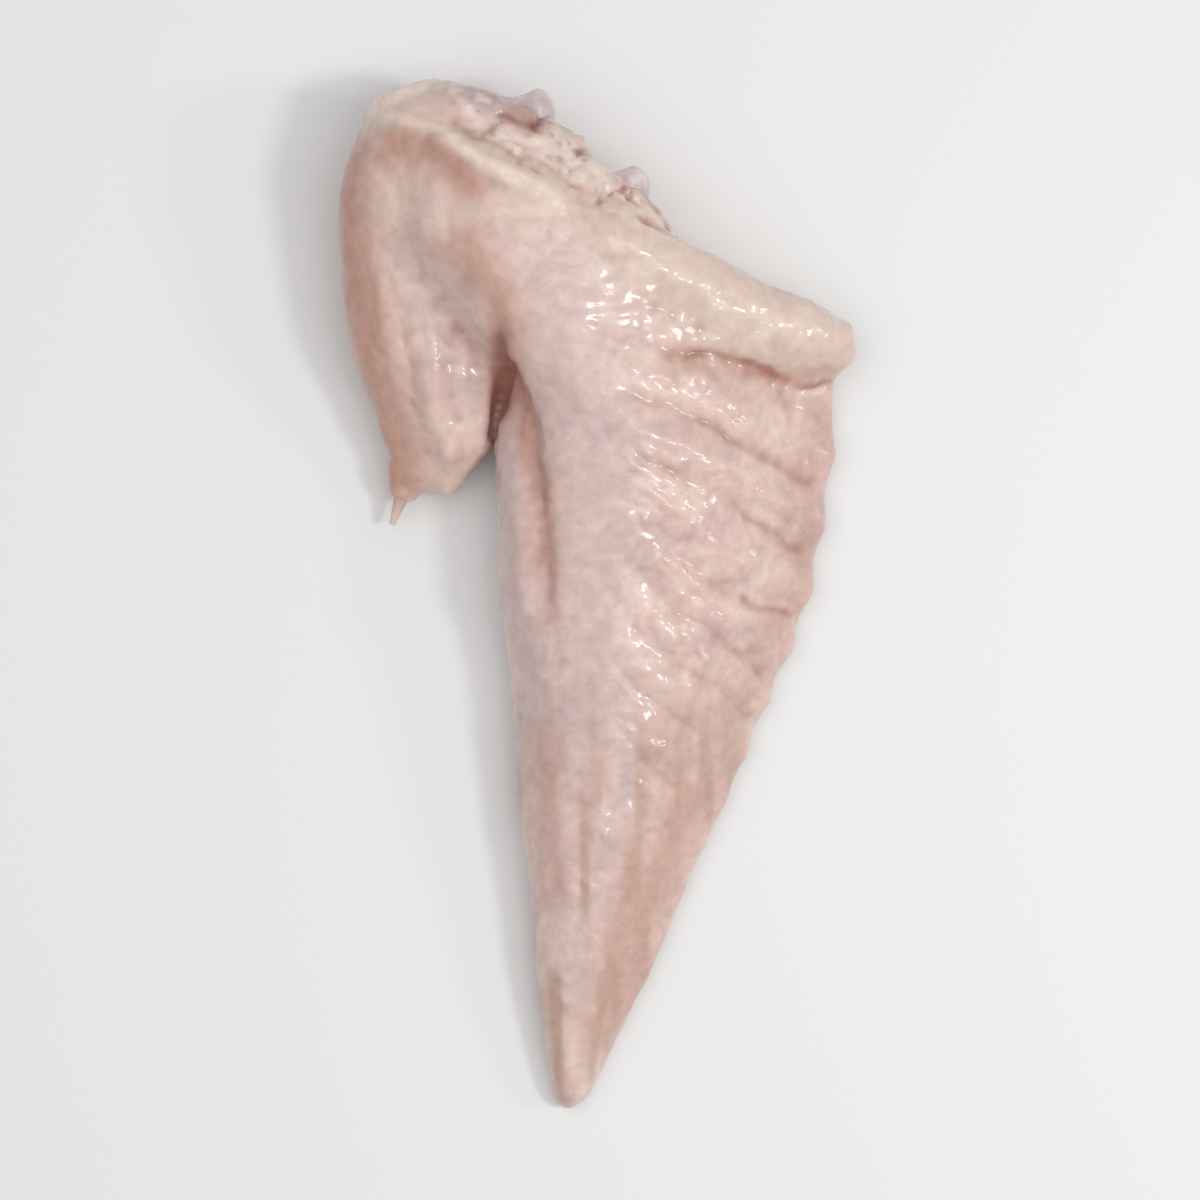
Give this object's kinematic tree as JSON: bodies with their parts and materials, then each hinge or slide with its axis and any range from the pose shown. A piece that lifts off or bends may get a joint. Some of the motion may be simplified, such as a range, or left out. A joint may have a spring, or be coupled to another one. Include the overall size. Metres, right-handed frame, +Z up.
{
  "type": "raw chicken wing tip",
  "caption": "Raw chicken wing tip with its skin on: a flat tapering hand with a thumb lobe and claw, a rolled skin hem and the cut wrist joint.",
  "frame": {"origin": "on the surface that the wing tip lies on, below the middle of its box", "axes": "+Y from the tip to the cut wrist, +X from the thumb to the trailing edge, +Z up through the outer, feathered side"},
  "size_m": [0.0464, 0.0906, 0.0154],
  "materials": {
    "skin": "raw poultry skin over fat and flesh, moist",
    "gristle": "moist, pearly bone end and gristle with a shallow hollow",
    "horn": "pale translucent horn"
  },
  "bodies": {
    "root": {"skin_and_flesh": "skin", "wrist_bone_major": "gristle", "wrist_bone_minor": "gristle", "thumb_claw": "horn"}
  },
  "joints": []
}
